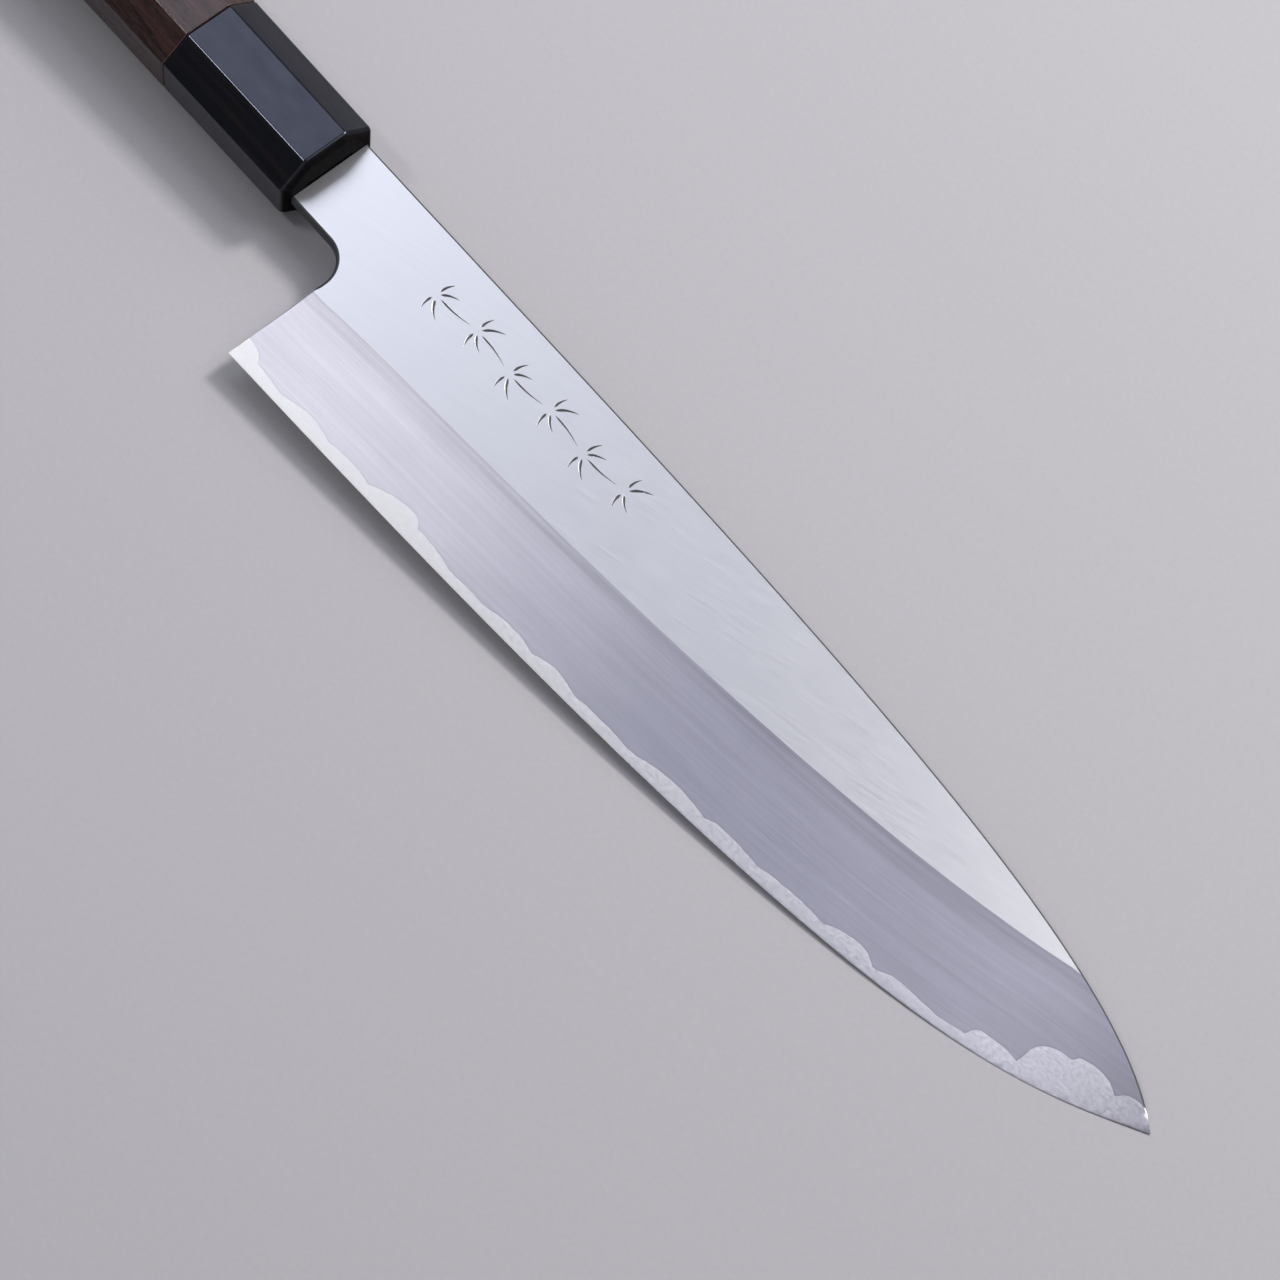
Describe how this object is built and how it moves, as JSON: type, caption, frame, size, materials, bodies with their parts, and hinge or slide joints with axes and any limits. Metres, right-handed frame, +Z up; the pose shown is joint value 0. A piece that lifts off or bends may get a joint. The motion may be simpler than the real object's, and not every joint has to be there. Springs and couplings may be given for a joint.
{
  "type": "chef knife",
  "caption": "Long double-bevel kitchen knife with a three-layer steel blade, straight heel and an octagonal wooden handle with a dark ferrule, lying on its side.",
  "frame": {"origin": "centre of the footprint, on the table the knife lies on (Z = 0)", "axes": "+X from handle to tip, +Y towards the spine, +Z up. The knife lies on its left side as it comes to rest: the ferrule's lower edge-side corner and the cutting edge near the tip touch Z = 0, so the blade is rolled 4.96 degrees to the edge side and pitched 1.97 degrees down to the tip."},
  "size_m": [0.4002, 0.054, 0.0256],
  "materials": {
    "core_steel": "fine stone polish, bright",
    "cladding_steel": "satin flats and a matte, hazy bevel",
    "ferrule_horn": "polished black",
    "rosewood": "oiled, dark reddish brown with fine grain",
    "dowel_wood": "plain, unfinished",
    "resin": "cured dark adhesive"
  },
  "bodies": {
    "root": {"core_steel": "core_steel", "cladding_right": "cladding_steel", "cladding_left": "cladding_steel", "ferrule": "ferrule_horn", "handle_body": "rosewood", "dowel": "dowel_wood", "tang_resin": "resin"}
  },
  "joints": []
}
